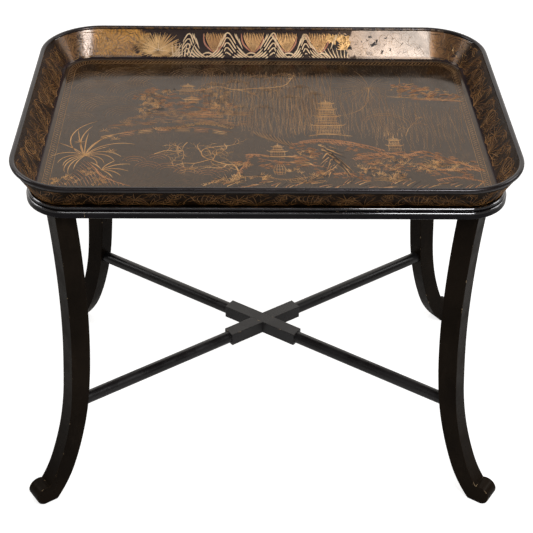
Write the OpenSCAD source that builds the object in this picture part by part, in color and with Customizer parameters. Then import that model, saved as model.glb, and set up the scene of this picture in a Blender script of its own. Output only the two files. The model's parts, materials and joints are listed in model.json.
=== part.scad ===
// Tray table: a deep lacquered tray that lifts off a black stand with four curved legs.
// Millimetres, +Z up, +X along the tray's length, the front towards -Y.
// The origin is on the floor, at the middle of the stand.

/* [Tray] */
// Overall length of the tray, outside its rim
tray_w = 762; // [720:1:800]
// Overall depth of the tray, outside its rim
tray_d = 548; // [510:1:590]
// Corner radius of the rim, on its outside
rim_corner_r = 98; // [90:1:110]
// Thickness of the moulded papier-mache shell
shell_t = 5; // [4:0.5:6]
// How far the wall leans outwards from the floor to the outside of the rim
wall_flare = 38; // [32:1:42]
// Corner radius of the tray's floor
floor_corner_r = 46; // [42:1:46]
// Diameter of the rounded bead along the rim
bead_d = 8.4; // [7.5:0.1:9]
// Diameter of the iron wire inside the bead
wire_d = 3.2; // [2:0.1:4]

/* [Stand] */
// Height from the floor to the top of the rim
table_h = 630; // [560:1:700]
// Height from the top of the frame's lip to the top of the rim
rim_above_frame = 47; // [44:1:52]
// How far the frame stands in from the outside of the rim
frame_inset = 21.4; // [20:0.2:22]
// Height of the moulded frame, with its lip
frame_h = 18; // [18:1:22]
// Width of the frame's rails
rail_w = 33; // [30:1:36]
// Corner radius of the frame, on its outside
frame_corner_r = 68; // [64:1:69]

/* [Legs] */
// Direction of each leg and stretcher from the middle, in degrees from the X axis
leg_angle = 34.6; // [33:0.1:37]
// How far the middle of a leg's top stands in from the frame's end
leg_inset = 50.8; // [48:0.2:54]
// Thickness of a leg, across its curve
leg_t = 30; // [26:1:32]
// Depth of a leg at its top, along its curve's plane
leg_top_depth = 33; // [30:1:36]
// Depth of a leg at its ankle
leg_ankle_depth = 30; // [26:1:32]
// Radius of the rolled toe
toe_r = 17.5; // [16:0.5:20]

/* [Stretchers] */
// Height of the stretchers' centre line above the floor
stretcher_z = 178; // [160:1:200]
// Diameter of a stretcher rod
rod_d = 21; // [18:0.5:22]
// Side of the square cross bars
cross_side = 23; // [22.5:0.5:26]
// Length of one cross bar, end to end
cross_l = 147; // [130:1:170]
// Diameter of the tenons on the rods' ends
tenon_d = 13; // [11:0.5:14]

/* [Hidden] */
$fn = 96;

black = [0.05, 0.045, 0.045];
ebony = [0.09, 0.07, 0.06];
lacquer = [0.22, 0.16, 0.11];
steel = [0.55, 0.55, 0.56];
birch = [0.76, 0.64, 0.46];

// Gap between parts that only just clear each other
clear = 0.05;

// --- heights ---
bead_r = bead_d / 2;
bead_z = table_h - bead_r;
frame_z = table_h - rim_above_frame - frame_h;
ledge_h = frame_h - 7;
ledge_z = frame_z + ledge_h;
floor_z = ledge_z + shell_t;

// --- tray outline: a rectangle with round corners, given by its corners' centres ---
tray_cx = tray_w / 2 - rim_corner_r;
tray_cy = tray_d / 2 - rim_corner_r;
bead_rho = rim_corner_r - bead_r;
crease_rho = rim_corner_r - wall_flare;
// The wall's inner face ends at this height, and the bead is glued to the wall's end
wall_top_z = bead_z - wire_d / 2 + 0.4;
// Its corners tighten towards the floor: a corner's centre moves outwards by this for each millimetre down
corner_shift = (crease_rho - floor_corner_r) / (wall_top_z - floor_z);

// --- frame outline ---
frame_w = tray_w - 2 * frame_inset;
frame_d = tray_d - 2 * frame_inset;
frame_cx = frame_w / 2 - frame_corner_r;
frame_cy = frame_d / 2 - frame_corner_r;
rail_inner_rho = frame_corner_r - rail_w;
// Each corner piece runs this far along its two rails
corner_reach = 25;

// Points on an arc about [x, y], from angle a0 to a1, in n steps
function arc(x, y, r, a0, a1, n) =
    [for (i = [0:n]) let (a = a0 + (a1 - a0) * i / n) [x + r * cos(a), y + r * sin(a)]];

// --- wall section, as [distance from the corner's centre, height] ---
cove_r = 9;
wall_lean = atan2(bead_rho - 0.64 * shell_t - crease_rho, wall_top_z - floor_z);
cove_start = crease_rho - cove_r * tan((90 - wall_lean) / 2);

function wall_dir() = [sin(wall_lean), cos(wall_lean)];
function wall_out() = [cos(wall_lean), -sin(wall_lean)];
wall_start = arc(cove_start, floor_z + cove_r, cove_r, -90, -wall_lean, 8);
wall_under = arc(cove_start, floor_z + cove_r, cove_r + shell_t, -wall_lean, -90, 8);
wall_end = wall_start[8] + wall_dir() * (wall_top_z - wall_start[8][1]) / cos(wall_lean);
wall_section = concat(
    [[cove_start - 1, floor_z]], wall_start, [wall_end, wall_end + wall_out() * shell_t],
    wall_under, [[cove_start - 1, ledge_z]]
);
// The bead's seat on the wall's end, with a glue line
glue_t = 0.35;
bead_seat = let (a = wall_end + wall_dir() * glue_t) [
    a - wall_out() * bead_d, a + wall_out() * 2 * bead_d,
    a + wall_out() * 2 * bead_d - wall_dir() * bead_d, a - wall_out() * bead_d - wall_dir() * bead_d,
];
// The same section as a corner's lathe sees it, before its centre is slid outwards
corner_section = [for (p = wall_section) [p[0] - corner_shift * (wall_top_z - p[1]), p[1]]];

// --- rail section: plain fascia, rounded shoulder, quirk and the lip's bead ---
shoulder_r = 3;
lip_r = 3;
lip_rho = frame_corner_r - 5;
rail_section = concat(
    [[rail_inner_rho, 0], [frame_corner_r - 1, 0], [frame_corner_r, 1]],
    arc(frame_corner_r - shoulder_r, ledge_h - 2.5, shoulder_r, 0, 85, 7),
    [[lip_rho + 0.8, ledge_h + 0.6], [lip_rho + 0.8, ledge_h + 1.7]],
    arc(lip_rho, frame_h - lip_r, lip_r, -48, 180, 16),
    [[lip_rho - lip_r, ledge_h], [rail_inner_rho, ledge_h]]
);

// --- leg centre line: arcs from the top down, as [length, radius] ---
leg_top_z = frame_z;
leg_top_r = (frame_w / 2 - leg_inset) / cos(leg_angle);
leg_lean = 5.1;
leg_arcs = [[196, 2185], [161, 1470], [147, 520], [100, 194]];
leg_steps = [8, 8, 12, 14];

// Walks k arcs from a pose [r, z, angle of travel from straight down, outwards positive]
function walk(pose, l, radius) =
    let (a = pose[2], b = a + l / radius * 180 / PI)
    [pose[0] + radius * (cos(a) - cos(b)), pose[1] - radius * (sin(b) - sin(a)), b];
function arc_start(k) =
    k == 0 ? [leg_top_r, leg_top_z, -leg_lean]
           : walk(arc_start(k - 1), leg_arcs[k - 1][0], leg_arcs[k - 1][1]);
leg_line = concat(
    [for (k = [0:len(leg_arcs) - 1], i = [0:leg_steps[k] - 1])
        walk(arc_start(k), leg_arcs[k][0] * i / leg_steps[k], leg_arcs[k][1])],
    [arc_start(len(leg_arcs))]
);
function leg_depth(z) =
    leg_ankle_depth + (leg_top_depth - leg_ankle_depth)
        * min(1, max(0, (z - 130) / 120));
// A point beside the centre line; side is 1 on the outside of the leg and -1 on its inside
function leg_side(p, side) =
    [p[0] + side * leg_depth(p[1]) / 2 * cos(p[2]), p[1] + side * leg_depth(p[1]) / 2 * sin(p[2])];
// The leg's top is cut level, where it meets the frame
function leg_top(side) = [leg_top_r + side * leg_top_depth / 2 / cos(leg_lean), leg_top_z];
leg_path = [for (i = [1:len(leg_line) - 1]) leg_line[i]];
leg_outer = concat([leg_top(1)], [for (p = leg_path) if (leg_side(p, 1)[1] > toe_r) leg_side(p, 1)]);
leg_inner = concat([leg_top(-1)], [for (p = leg_path) if (leg_side(p, -1)[1] > 2) leg_side(p, -1)]);
heel_r = leg_inner[len(leg_inner) - 1][0] + 2.5;
toe_centre_r = heel_r + 19;
// The toe's roll is cut off flat where it stands
toe_centre_z = toe_r - 0.5;

// --- fasteners ---
dowel_d = 6;
dowel_l = 30;
dowel_rhos = [rail_inner_rho + 9, rail_inner_rho + 22];
screw_r = 2.25;
screw_l = 45;
head_r = 4.5;
head_h = 2.4;
screw_spread = 8;
cross_screw_l = 19;

// --- stretchers ---
tenon_l = 13;
bore_l = 14;
rod_start_r = cross_l / 2;
leg_face_r = [for (i = [1:len(leg_inner) - 1])
    if (leg_inner[i][1] <= stretcher_z && leg_inner[i - 1][1] > stretcher_z)
        let (a = leg_inner[i - 1], b = leg_inner[i], t = (a[1] - stretcher_z) / (a[1] - b[1]))
        a[0] + (b[0] - a[0]) * t][0];

// ---------------------------------------------------------------- helpers

// Sweeps a section round a rounded rectangle: four straight sides and four corners
module sweep_sides(cx, cy) {
    for (s = [-1, 1]) {
        translate([-cx, 0, 0]) straight(2 * cx, s, [0, cy]) children();
        translate([0, -cy, 0]) straight_y(2 * cy, s, cx) children();
    }
    for (sx = [-1, 1], sy = [-1, 1]) at_quadrant(sx, sy)
        translate([cx, cy, 0]) rotate_extrude(angle = 90) children();
}

// A straight run along X; side 1 faces +Y and -1 faces -Y
module straight(l, side, offset) {
    mirror([0, side < 0 ? 1 : 0, 0])
        translate([0, offset[1], 0]) rotate([90, 0, 90]) linear_extrude(l) children();
}

// A straight run along Y; side 1 faces +X and -1 faces -X
module straight_y(l, side, offset) {
    mirror([side < 0 ? 1 : 0, 0, 0])
        translate([offset, l, 0]) rotate([90, 0, 0]) linear_extrude(l) children();
}

// Mirrors a part that is drawn in the +X +Y quadrant
module at_quadrant(sx, sy) {
    mirror([sx < 0 ? 1 : 0, 0, 0]) mirror([0, sy < 0 ? 1 : 0, 0]) children();
}

// The wall all the way round
module wall_ring() {
    for (s = [-1, 1]) {
        intersection() {
            translate([-tray_w / 2, 0, 0]) straight(tray_w, s, [0, tray_cy]) polygon(wall_section);
            rotate([90, 0, 0]) translate([0, 0, -tray_d]) linear_extrude(2 * tray_d) wall_span(tray_cx);
        }
        intersection() {
            translate([0, -tray_d / 2, 0]) straight_y(tray_d, s, tray_cx) polygon(wall_section);
            rotate([90, 0, 90]) translate([0, 0, -tray_w]) linear_extrude(2 * tray_w) wall_span(tray_cy);
        }
    }
    for (sx = [-1, 1], sy = [-1, 1]) at_quadrant(sx, sy)
        translate([tray_cx, tray_cy, 0])
            multmatrix([
                [1, 0, -corner_shift, corner_shift * wall_top_z],
                [0, 1, -corner_shift, corner_shift * wall_top_z],
                [0, 0, 1, 0], [0, 0, 0, 1],
            ]) rotate_extrude(angle = 90) polygon(corner_section);
}

// The stretch of a side between its two corners, which is longer at the floor than at the rim
module wall_span(half) {
    z0 = floor_z - 20;
    z1 = table_h + 10;
    b0 = half + corner_shift * (wall_top_z - z0);
    b1 = half + corner_shift * (wall_top_z - z1);
    polygon([[-b0, z0], [b0, z0], [b1, z1], [-b1, z1]]);
}

module rounded_plate(cx, cy, r, h) {
    linear_extrude(h) {
        square([2 * cx, 2 * (cy + r)], center = true);
        square([2 * (cx + r), 2 * cy], center = true);
        for (sx = [-1, 1], sy = [-1, 1]) translate([sx * cx, sy * cy]) circle(r);
    }
}

// ---------------------------------------------------------------- tray

module tray_body() {
    color(lacquer) {
        translate([0, 0, ledge_z]) rounded_plate(
            tray_w / 2 - wall_flare - floor_corner_r, tray_d / 2 - wall_flare - floor_corner_r,
            floor_corner_r - crease_rho + cove_start - 0.5, shell_t
        );
        wall_ring();
    }
}

module rim_bead() {
    color(black) sweep_sides(tray_cx, tray_cy) difference() {
        translate([bead_rho, bead_z]) circle(bead_r);
        translate([bead_rho, bead_z]) circle(wire_d / 2 + clear);
        polygon(bead_seat);
    }
}

module rim_wire() {
    color(steel) sweep_sides(tray_cx, tray_cy) translate([bead_rho, bead_z]) circle(wire_d / 2);
}

// ---------------------------------------------------------------- frame

module dowel(l, r) {
    translate([-l / 2, 0, ledge_h / 2]) rotate([0, 90, 0]) cylinder(h = l, r = r);
}

// The dowels of one corner, or their holes when extra is above 0
module corner_dowels(extra) {
    for (rho = dowel_rhos) {
        translate([frame_cx - corner_reach, frame_cy + rho, frame_z])
            dowel(dowel_l + 2 * extra, dowel_d / 2 + extra);
        translate([frame_cx + rho, frame_cy - corner_reach, frame_z])
            rotate([0, 0, 90]) dowel(dowel_l + 2 * extra, dowel_d / 2 + extra);
    }
}

module all_dowels(extra) {
    for (sx = [-1, 1], sy = [-1, 1]) at_quadrant(sx, sy) corner_dowels(extra);
}

// A rail along the tray's length, on the back (side 1) or the front (side -1)
module long_rail(side) {
    l = 2 * (frame_cx - corner_reach);
    color(black) difference() {
        translate([-l / 2, 0, frame_z]) straight(l, side, [0, frame_cy]) polygon(rail_section);
        all_dowels(clear);
    }
}

// A rail along the tray's depth, on the right (side 1) or the left (side -1)
module short_rail(side) {
    l = 2 * (frame_cy - corner_reach);
    color(black) difference() {
        translate([0, -l / 2, frame_z]) straight_y(l, side, frame_cx) polygon(rail_section);
        all_dowels(clear);
    }
}

// Two countersunk screws through each corner piece, down into the top of its leg
module corner_screws(extra) {
    for (s = [-1, 1]) rotate([0, 0, leg_angle])
        translate([leg_top_r + s * screw_spread, 0, ledge_z]) {
            translate([0, 0, -screw_l]) cylinder(h = screw_l, r = screw_r + extra);
            translate([0, 0, -head_h]) cylinder(h = head_h, r1 = screw_r + extra, r2 = head_r + extra);
        }
}

module corner_piece(sx, sy) {
    inner = rail_inner_rho;
    color(black) at_quadrant(sx, sy) difference() {
        union() {
            translate([frame_cx, frame_cy, frame_z]) {
                rotate_extrude(angle = 90) polygon(rail_section);
                translate([-corner_reach, 0, 0]) straight(corner_reach, 1, [0, 0]) polygon(rail_section);
                translate([0, -corner_reach, 0]) straight_y(corner_reach, 1, 0) polygon(rail_section);
                linear_extrude(ledge_h) polygon([
                    [-corner_reach, inner], [-corner_reach, inner + 12], [0, inner + 12],
                    [inner, inner], [inner + 12, 0], [inner + 12, -corner_reach], [inner, -corner_reach],
                ]);
            }
        }
        corner_dowels(clear);
        corner_screws(clear);
    }
}

module frame_dowels() {
    color(birch) all_dowels(0);
}

module leg_screws() {
    color(steel) for (sx = [-1, 1], sy = [-1, 1]) at_quadrant(sx, sy) corner_screws(0);
}

// ---------------------------------------------------------------- legs

// Side view of a leg without its toe, as [distance from the table's middle, height]
module leg_outline() {
    polygon(concat(
        leg_outer,
        [[toe_centre_r, toe_centre_z], [toe_centre_r, 0], [heel_r, 0]],
        [for (i = [len(leg_inner) - 1:-1:0]) leg_inner[i]]
    ));
}

// Side view of the rolled toe
module toe_outline() {
    intersection() {
        translate([toe_centre_r, toe_centre_z]) circle(toe_r);
        square([1000, 1000]);
    }
}

module leg_solid() {
    rotate([0, 0, leg_angle]) rotate([90, 0, 0]) translate([0, 0, -leg_t / 2]) {
        linear_extrude(leg_t) leg_outline();
        linear_extrude(leg_t) toe_outline();
    }
}

module leg(sx, sy) {
    color(ebony) at_quadrant(sx, sy) difference() {
        leg_solid();
        corner_screws(clear);
        rotate([0, 0, leg_angle]) translate([leg_face_r - 8, 0, stretcher_z])
            rotate([0, 90, 0]) cylinder(h = bore_l + 8, r = tenon_d / 2 + clear);
    }
}

// ---------------------------------------------------------------- stretchers

// A square bar across the middle, at angle a; half is "top", "bottom" or "both"
module cross_block(a, half) {
    h = half == "both" ? cross_side : cross_side / 2;
    z = half == "top" ? 0 : -cross_side / 2;
    rotate([0, 0, a]) translate([-cross_l / 2, -cross_side / 2, stretcher_z + z])
        cube([cross_l, cross_side, h]);
}

// Bores in both ends of the cross bar at angle a, for the rods' tenons
module cross_bores(a) {
    rotate([0, 0, a]) for (s = [0, 180]) rotate([0, 0, s])
        translate([rod_start_r - bore_l, 0, stretcher_z])
            rotate([0, 90, 0]) cylinder(h = bore_l + 1, r = tenon_d / 2 + clear);
}

module cross_screw_shape(extra) {
    z = stretcher_z - cross_side / 2;
    translate([0, 0, z]) cylinder(h = cross_screw_l, r = screw_r + extra);
    translate([0, 0, z]) cylinder(h = head_h, r1 = head_r + extra, r2 = screw_r + extra);
}

module lower_cross_bar() {
    color(ebony) difference() {
        cross_block(leg_angle, "both");
        cross_block(-leg_angle, "top");
        cross_bores(leg_angle);
        cross_screw_shape(clear);
    }
}

module upper_cross_bar() {
    color(ebony) difference() {
        cross_block(-leg_angle, "both");
        cross_block(leg_angle, "bottom");
        cross_bores(-leg_angle);
        cross_screw_shape(clear);
    }
}

module cross_screw() {
    color(steel) cross_screw_shape(0);
}

// A round rod from the cross bars to a leg; its shoulder is coped to the leg's face
module rod(sx, sy) {
    color(ebony) at_quadrant(sx, sy) {
        difference() {
            rotate([0, 0, leg_angle]) translate([rod_start_r, 0, stretcher_z])
                rotate([0, 90, 0]) cylinder(h = leg_face_r + 8 - rod_start_r, r = rod_d / 2);
            leg_solid();
        }
        rotate([0, 0, leg_angle]) translate([rod_start_r - tenon_l, 0, stretcher_z])
            rotate([0, 90, 0])
                cylinder(h = leg_face_r + tenon_l - rod_start_r + tenon_l, r = tenon_d / 2);
    }
}

// ---------------------------------------------------------------- nodes

tray_body();
rim_bead();
rim_wire();
long_rail(-1);  // front_rail
long_rail(1);  // back_rail
short_rail(-1);  // left_rail
short_rail(1);  // right_rail
corner_piece(-1, -1);  // front_left_corner
corner_piece(1, -1);  // front_right_corner
corner_piece(-1, 1);  // back_left_corner
corner_piece(1, 1);  // back_right_corner
frame_dowels();
leg(-1, -1);  // front_left_leg
leg(1, -1);  // front_right_leg
leg(-1, 1);  // back_left_leg
leg(1, 1);  // back_right_leg
leg_screws();
lower_cross_bar();
upper_cross_bar();
cross_screw();
rod(-1, -1);  // front_left_rod
rod(1, -1);  // front_right_rod
rod(-1, 1);  // back_left_rod
rod(1, 1);  // back_right_rod
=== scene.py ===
"""Looks of the tray table: a deep gilded lacquer tray that lifts off a black stand with four curved legs."""
import json
import random
from itertools import cycle
from math import atan2, copysign, cos, degrees, dist, hypot, pi, radians, sin, sqrt

import bpy
from mathutils import Matrix, Vector


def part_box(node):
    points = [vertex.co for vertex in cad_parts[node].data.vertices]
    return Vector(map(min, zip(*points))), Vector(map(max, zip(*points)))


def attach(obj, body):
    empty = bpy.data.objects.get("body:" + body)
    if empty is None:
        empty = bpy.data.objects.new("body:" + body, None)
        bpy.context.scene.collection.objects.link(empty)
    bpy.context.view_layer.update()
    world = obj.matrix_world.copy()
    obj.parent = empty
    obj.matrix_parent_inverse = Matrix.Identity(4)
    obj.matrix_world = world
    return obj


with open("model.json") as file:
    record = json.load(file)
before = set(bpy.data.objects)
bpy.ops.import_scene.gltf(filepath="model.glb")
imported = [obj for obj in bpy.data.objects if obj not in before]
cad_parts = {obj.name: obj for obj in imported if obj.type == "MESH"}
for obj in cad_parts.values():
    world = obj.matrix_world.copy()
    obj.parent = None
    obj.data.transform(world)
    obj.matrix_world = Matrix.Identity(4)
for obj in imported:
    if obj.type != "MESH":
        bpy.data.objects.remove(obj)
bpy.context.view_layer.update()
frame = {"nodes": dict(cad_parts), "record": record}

MM = 0.001
nodes = frame["nodes"]
rng = random.Random(20)
uniform = rng.uniform

# ---------------------------------------------------------------- the tray's surfaces, in mm

# Sizes of the rim and wall that the frame's boxes don't give
RIM_CORNER_R = 98.0
BEAD_R = 4.2
WALL_FLARE = 38.0
FLOOR_CORNER_R = 46.0
SHELL_T = 5.0
# How far inside the crease the floor starts to curve up
FLOOR_CURVE = 5.0
# The wall's inner face ends this far below the top of the rim
WALL_END_DROP = 5.4
WALL_END_INSET = 3.2

rim_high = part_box("rim_bead")[1] / MM
FLOOR_Z = next(m["pos_m"][2] for m in frame["record"]["mounts"] if m["name"] == "tray_floor") / MM
RIM_CX = rim_high.x - RIM_CORNER_R
RIM_CY = rim_high.y - RIM_CORNER_R
BEAD_RHO = RIM_CORNER_R - BEAD_R
CREASE_RHO = RIM_CORNER_R - WALL_FLARE
WALL_TOP_Z = rim_high.z - WALL_END_DROP
WALL_RHO = BEAD_RHO - WALL_END_INSET
LEAN = atan2(WALL_RHO - CREASE_RHO, WALL_TOP_Z - FLOOR_Z)
SLIDE = (CREASE_RHO - FLOOR_CORNER_R) / (WALL_TOP_Z - FLOOR_Z)
CORNER_ARC = WALL_RHO * pi / 2
# Distances along the rim, from the middle of the back, at which the right side and the front begin
SIDE_START = RIM_CX + CORNER_ARC
FRONT_START = SIDE_START + 2 * RIM_CY + CORNER_ARC
HALF_ROUND = FRONT_START + RIM_CX
# The flat part of the floor, and the painted part of the wall, from its foot to just under the rim
FLAT_X = RIM_CX + CREASE_RHO - FLOOR_CURVE
FLAT_Y = RIM_CY + CREASE_RHO - FLOOR_CURVE
WALL_FOOT_V = 4.0
WALL_V = 50.0
# How deep a stroke's edges are sunk in the lacquer
SINK = 0.12
# A stroke wider than this gets a flat top, which is this share of its width
BROAD = 1.7
FLAT_TOP = 0.6


def wall_point(u, v, out):
    """A point on the wall. u runs along the rim from the middle of the back, clockwise from above;
    v runs up the slope from the floor, and out is the distance outwards from the inner face."""
    u = (u + HALF_ROUND) % (2 * HALF_ROUND) - HALF_ROUND
    side = copysign(1, u)
    u = abs(u)
    rho = CREASE_RHO + v * sin(LEAN) + out * cos(LEAN)
    z = FLOOR_Z + v * cos(LEAN) - out * sin(LEAN)
    slide = SLIDE * (WALL_TOP_Z - z)
    cx, cy, r = RIM_CX + slide, RIM_CY + slide, rho - slide
    if u < RIM_CX:
        x, y = u * cx / RIM_CX, cy + r
    elif u < SIDE_START:
        a = (u - RIM_CX) / WALL_RHO
        x, y = cx + r * sin(a), cy + r * cos(a)
    elif u < SIDE_START + 2 * RIM_CY:
        x, y = cx + r, (RIM_CY - (u - SIDE_START)) * cy / RIM_CY
    elif u < FRONT_START:
        a = (u - SIDE_START - 2 * RIM_CY) / WALL_RHO
        x, y = cx + r * cos(a), -cy - r * sin(a)
    else:
        x, y = (HALF_ROUND - u) * cx / RIM_CX, -cy - r
    return (side * x * MM, y * MM, z * MM)


def on_floor(x, y, lift):
    return (x * MM, y * MM, (FLOOR_Z + lift) * MM)


def on_inner_wall(u, v, lift):
    return wall_point(u, v, -lift)


def on_outer_wall(u, v, lift):
    """Here u runs from the middle of the front, from left to right as seen from outside."""
    return wall_point(HALF_ROUND - u, v, SHELL_T + lift)


def add(name, data):
    """A new object in the scene."""
    thing = bpy.data.objects.new(name, data)
    bpy.context.scene.collection.objects.link(thing)
    return thing


# ---------------------------------------------------------------- strokes

def smooth(points, step=3.0):
    """Points about one step apart on a smooth curve through the given ones."""
    if len(points) < 3:
        return points
    ends = [points[0]] + list(points) + [points[-1]]
    out = []
    for a, b, c, d in zip(ends, ends[1:], ends[2:], ends[3:]):
        n = max(1, round(dist(b, c) / step))
        for i in range(n):
            t = i / n
            out.append(tuple(
                0.5 * (2 * q + (r - p) * t + (2 * p - 5 * q + 4 * r - s) * t * t
                       + (3 * q - p - 3 * r + s) * t ** 3)
                for p, q, r, s in zip(a, b, c, d)
            ))
    return out + [tuple(points[-1])]


def bent(start, angle, length, bend, n):
    """A stroke of n pieces that leaves start at angle (degrees) and turns by bend degrees on its way."""
    points = [tuple(start)]
    for i in range(n):
        a = radians(angle + bend * (i + 0.5) / n)
        x, y = points[-1]
        points.append((x + length / n * cos(a), y + length / n * sin(a)))
    return points


def polar(centre, angle, r):
    a = radians(angle)
    return (centre[0] + r * cos(a), centre[1] + r * sin(a))


PROFILES = {
    "even": lambda t: min(1.0, 0.35 + 9 * min(t, 1 - t)),
    "leaf": lambda t: 0.12 + 0.88 * sin(pi * min(1, t * 0.94 + 0.03)) ** 0.8,
    "taper": lambda t: 0.14 + 0.86 * (1 - t) ** 0.8,
    "drop": lambda t: 0.15 + 0.85 * sin(pi * t ** 1.7) ** 0.8,
}


class Paint:
    """Painted strokes on one surface, collected into one thin raised mesh."""

    def __init__(self, name, surface, material, lift=0.16):
        self.name, self.surface, self.material, self.lift = name, surface, material, lift
        self.low, self.high = (-FLAT_Y, FLAT_Y) if surface is on_floor else (WALL_FOOT_V, WALL_V)
        self.verts, self.faces = [], []

    def stroke(self, points, width, profile="even"):
        """A ridge along the points that lie on the surface; a broad one gets a flat top."""
        points = [p for p in points if self.low <= p[1] <= self.high]
        points = [p for i, p in enumerate(points) if i == 0 or dist(p, points[i - 1]) > 0.05]
        if len(points) < 2:
            return
        first = len(self.verts)
        count = len(points)
        # The cross-section: how far across, as a share of half the width, and how high
        section = [(1, -SINK), (0, self.lift), (-1, -SINK)]
        if width > BROAD:
            section[1:2] = [(FLAT_TOP, self.lift), (-FLAT_TOP, self.lift)]
        for i, (x, y) in enumerate(points):
            ax, ay = points[max(0, i - 1)]
            bx, by = points[min(count - 1, i + 1)]
            d = hypot(bx - ax, by - ay) or 1.0
            half = width / 2 * PROFILES[profile](i / (count - 1))
            nx, ny = -(by - ay) / d * half, (bx - ax) / d * half
            self.verts += [self.surface(x + nx * across, y + ny * across, up) for across, up in section]
        k = len(section)
        for i in range(count - 1):
            a, b = first + i * k, first + (i + 1) * k
            for j in range(k):
                m = (j + 1) % k
                self.faces.append((a + j, a + m, b + m, b + j))
        self.faces.append(tuple(first + j for j in reversed(range(k))))
        self.faces.append(tuple(first + (count - 1) * k + j for j in range(k)))

    def line(self, points, width, profile="leaf", step=3.0):
        self.stroke(smooth(points, step), width, profile)

    def blade(self, start, angle, length, bend, width, profile="leaf", n=6):
        self.stroke(bent(start, angle, length, bend, n), width, profile)

    def build(self):
        mesh = bpy.data.meshes.new(self.name)
        mesh.from_pydata(self.verts, [], self.faces)
        mesh.update()
        mesh.materials.append(self.material)
        piece = add(self.name, mesh)
        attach(piece, "tray")


# ---------------------------------------------------------------- motifs

def fan(paint, base, length, a0, a1, n, width, droop=0.0, profile="leaf"):
    """Blades that spread from one point; with droop they bend down on both sides."""
    for i in range(n):
        t = i / max(1, n - 1)
        a = a0 + (a1 - a0) * t + uniform(-2, 2)
        side = 1 if cos(radians(a)) < 0 else -1
        reach = length * uniform(0.88, 1.12)
        paint.blade(base, a, reach, side * droop * uniform(0.7, 1.3), width, profile)


def tuft(paint, base, size, n, lean, width=1.1):
    fan(paint, base, size, 55 + lean, 125 + lean, n, width, 18, "taper")


def frond(paint, start, angle, length, bend, width, leaflet):
    """A stem with leaflets on both sides, longest in the middle."""
    stem = bent(start, angle, length, bend, max(6, round(length / 4)))
    paint.stroke(stem, width, "taper")
    n = round(length / 6.4)
    for i in range(1, n):
        t = i / n
        k = min(len(stem) - 2, int(t * (len(stem) - 1)))
        p, q = stem[k], stem[k + 1]
        a = degrees(atan2(q[1] - p[1], q[0] - p[0]))
        reach = leaflet * (0.35 + 0.65 * sin(pi * t ** 0.7))
        for side in (-1, 1):
            paint.blade(p, a + side * 48, reach, -side * 18, width * 0.9, n=3)


def scroll(paint, start, angle, size, turn, width):
    """A spiral that winds in; turn is 1 for leftwards and -1 for rightwards."""
    points = [tuple(start)]
    n = 22
    for i in range(n):
        t = i / n
        a = radians(angle + turn * 540 * t ** 1.15)
        step = size * 0.42 * (1 - t) ** 0.9 + size * 0.02
        points.append((points[-1][0] + step * cos(a), points[-1][1] + step * sin(a)))
    paint.line(points, width, "taper", 2.2)


def flower(paint, centre, r, petals, width):
    for i in range(petals):
        a = 360 * i / petals
        paint.blade(polar(centre, a, r * 0.35), a + 28, r * 0.8, -56, width, n=4)
    paint.stroke([polar(centre, a, r * 0.22) for a in range(0, 361, 45)], width * 0.8)


def inside_runs(outline, angle, spacing, shake):
    """Parallel lines clipped to a closed outline, as (start, end) pairs."""
    ca, sa = cos(radians(angle)), sin(radians(angle))
    turned = [(x * ca + y * sa, -x * sa + y * ca) for x, y in outline]
    low, high = min(p[1] for p in turned), max(p[1] for p in turned)
    w = low + spacing * 0.6
    while w < high:
        cuts = []
        for (x0, y0), (x1, y1) in zip(turned, turned[1:] + turned[:1]):
            if (y0 > w) != (y1 > w):
                cuts.append(x0 + (x1 - x0) * (w - y0) / (y1 - y0))
        cuts.sort()
        for a, b in zip(cuts[::2], cuts[1::2]):
            a, b = a + uniform(0, shake), b - uniform(0, shake)
            if b - a > 1.5:
                yield ((a * ca - w * sa, a * sa + w * ca), (b * ca - w * sa, b * sa + w * ca))
        w += spacing * uniform(0.85, 1.15)


def hatch(paint, outline, angle, spacing, width, shake=0.0):
    """Slightly bowed parallel strokes inside a closed outline."""
    bow = 0.06
    for (x0, y0), (x1, y1) in inside_runs(outline, angle, spacing, shake):
        mx, my = (x0 + x1) / 2 - (y1 - y0) * bow, (y0 + y1) / 2 + (x1 - x0) * bow
        paint.line([(x0, y0), (mx, my), (x1, y1)], width, step=4.0)


def shore(paint, points, width, tick, pitch=3.5, angle=-70):
    """A ground line with short strokes hanging from it."""
    line = smooth(points, pitch)
    paint.stroke(line, width, "leaf")
    for x, y in line[1:-1]:
        heading = angle + uniform(-15, 15)
        paint.blade((x, y), heading, tick * uniform(0.5, 1.2), 12, width * 0.75, "taper", 3)


def bare_tree(paint, start, angle, length, width, depth):
    """A crooked branch that forks until depth runs out."""
    bend = rng.choice((-1, 1)) * uniform(20, 55)
    points = bent(start, angle, length, bend, 5)
    paint.line(points, width, "even" if depth else "taper")
    if not depth:
        return
    heading = angle + bend
    for turn in (uniform(18, 48), -uniform(18, 55)):
        reach = length * uniform(0.6, 0.85)
        bare_tree(paint, points[-1], heading + turn, reach, width * 0.72, depth - 1)
    if depth > 1:
        bare_tree(paint, points[3], heading + rng.choice((-62, 62)), length * 0.5, width * 0.5, depth - 2)


def leaf_trail(paint, points, leaf, width):
    """Small leaves along a path, a little to its left and right."""
    path = smooth(points, leaf * 0.8)
    for k, ((x0, y0), (x1, y1)) in enumerate(zip(path, path[1:])):
        a = degrees(atan2(y1 - y0, x1 - x0))
        side = 1 if k % 2 else -1
        heading = a + side * uniform(4, 15)
        paint.blade((x0, y0), heading, leaf * uniform(0.8, 1.25), -side * 10, width, n=3)


def strand(paint, x, top, bottom, width):
    """One hanging willow strand of small leaves, which sways a little."""
    sway = 2.5
    phase = uniform(0, 6)
    n = max(2, round((top - bottom) / 14))
    points = [(x + sway * sin(i * 0.7 + phase), top + (bottom - top) * i / n) for i in range(n + 1)]
    leaf_trail(paint, points, 6.5, width)


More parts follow.
